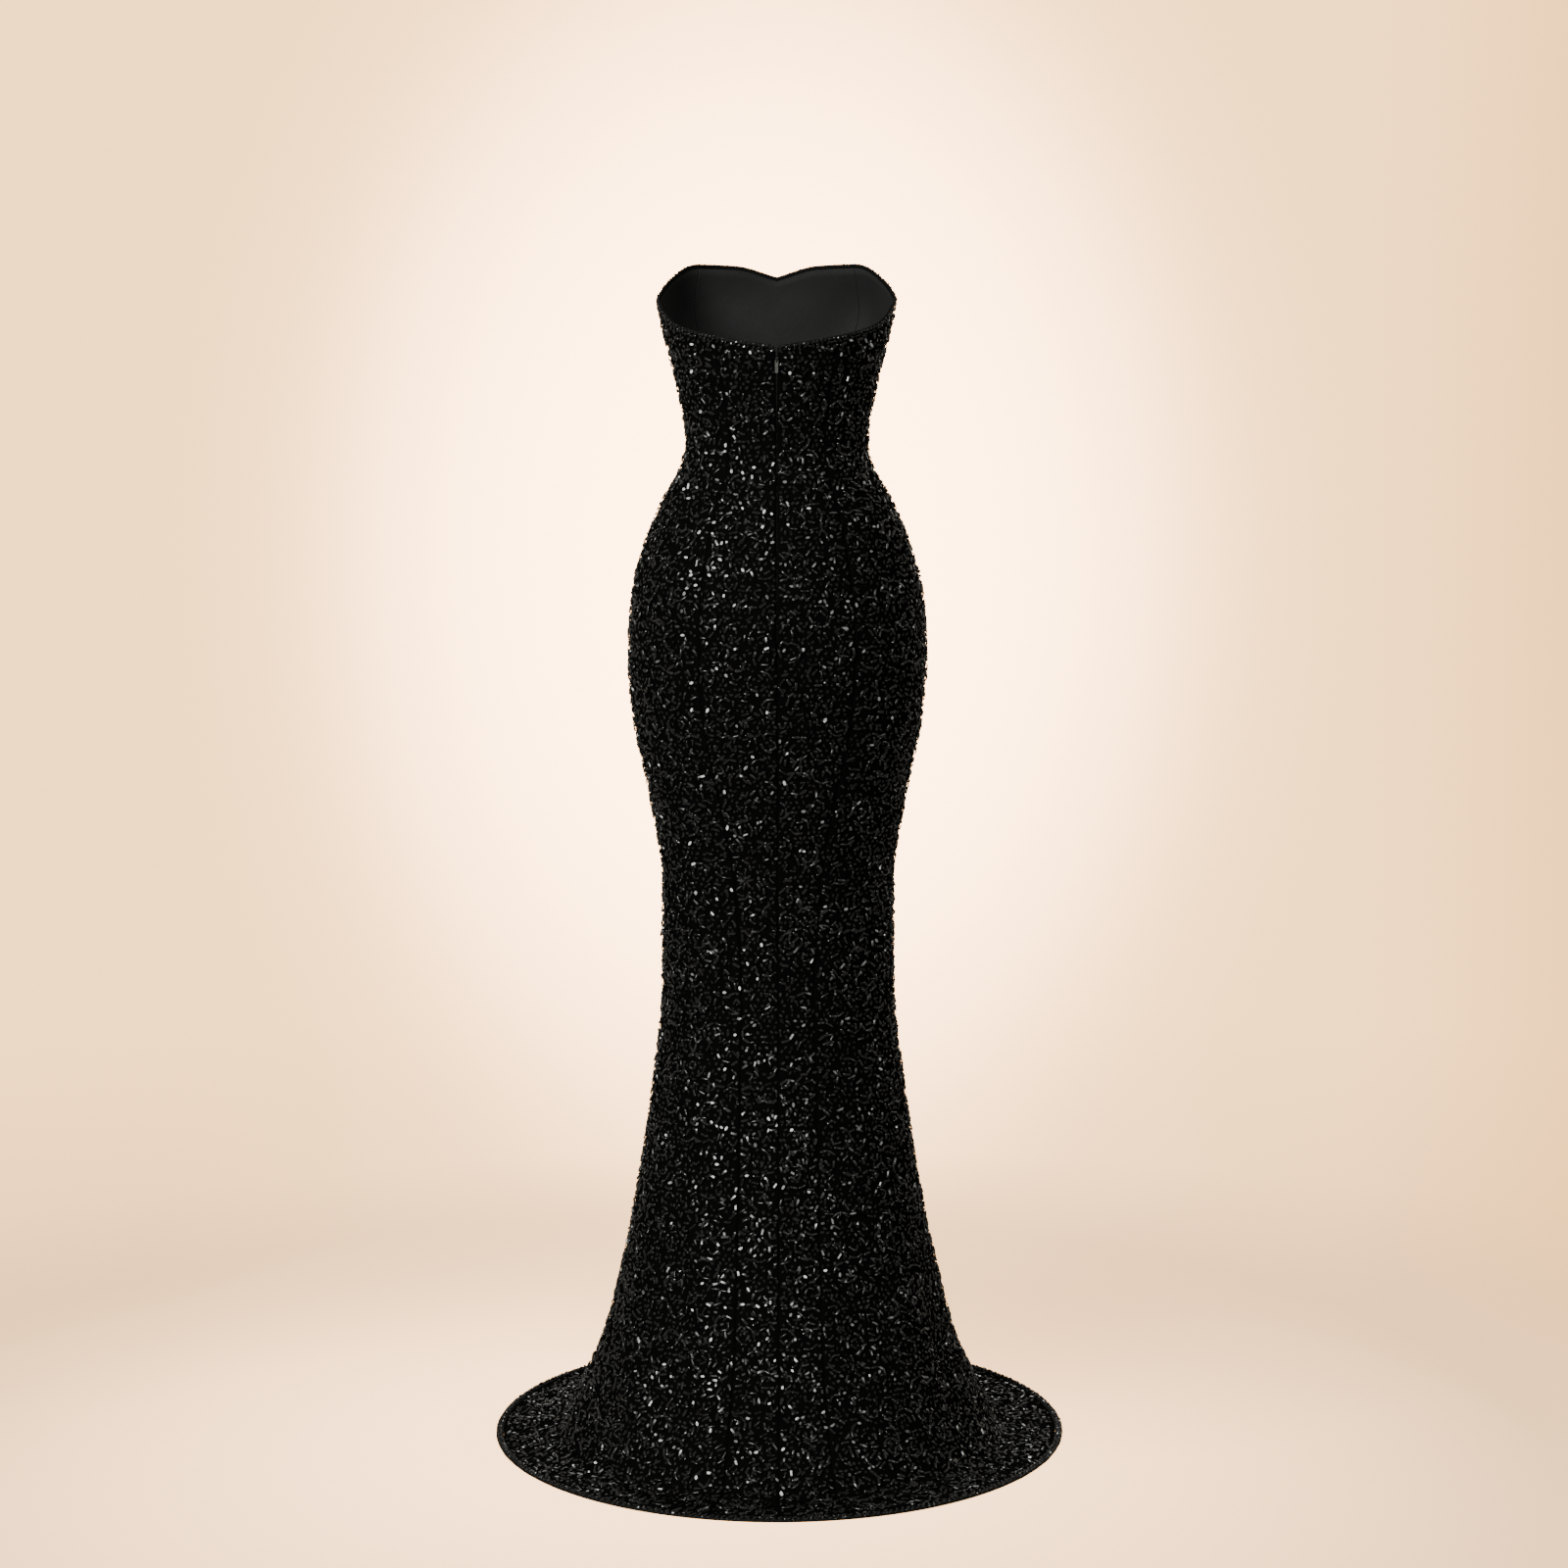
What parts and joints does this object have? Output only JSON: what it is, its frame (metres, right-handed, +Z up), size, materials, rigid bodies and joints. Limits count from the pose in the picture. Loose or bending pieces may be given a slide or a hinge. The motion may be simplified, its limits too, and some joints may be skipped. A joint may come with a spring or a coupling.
{
  "type": "evening gown",
  "caption": "Floor-length strapless evening gown in beaded black cloth, fitted to the knee, with a spreading hem and a back zip whose pull tab swings.",
  "frame": {"origin": "centre of the wearer's waist, 1.15 m above the floor that the hem lies on", "axes": "+Z up along the wearer, +X to the wearer's left, -Y to the front and +Y to the back"},
  "size_m": [0.658, 0.658, 1.3476],
  "materials": {
    "beaded_cloth": "black net covered in glossy sequins and swirling lines of small tube beads",
    "plain_binding": "plain black satin binding",
    "zip_tape": "matt black woven tape",
    "zip_metal": "black enamelled metal, glossy"
  },
  "bodies": {
    "gown": {"centre_back_left": "beaded_cloth", "side_back_left": "beaded_cloth", "side_front_left": "beaded_cloth", "centre_front": "beaded_cloth", "side_front_right": "beaded_cloth", "side_back_right": "beaded_cloth", "centre_back_right": "beaded_cloth", "neck_binding": "plain_binding", "hem_binding": "plain_binding", "zip_tape_left": "zip_tape", "zip_tape_right": "zip_tape", "zip_slider": "zip_metal"},
    "pull_tab": {"pull_tab": "zip_metal"}
  },
  "joints": [
    {"name": "pull_tab_hinge", "type": "hinge", "parent": "gown", "child": "pull_tab", "pos_m": [0, 0.09633, 0.08961], "axis": [1, 0, 0], "range_deg": [0, 150]}
  ]
}
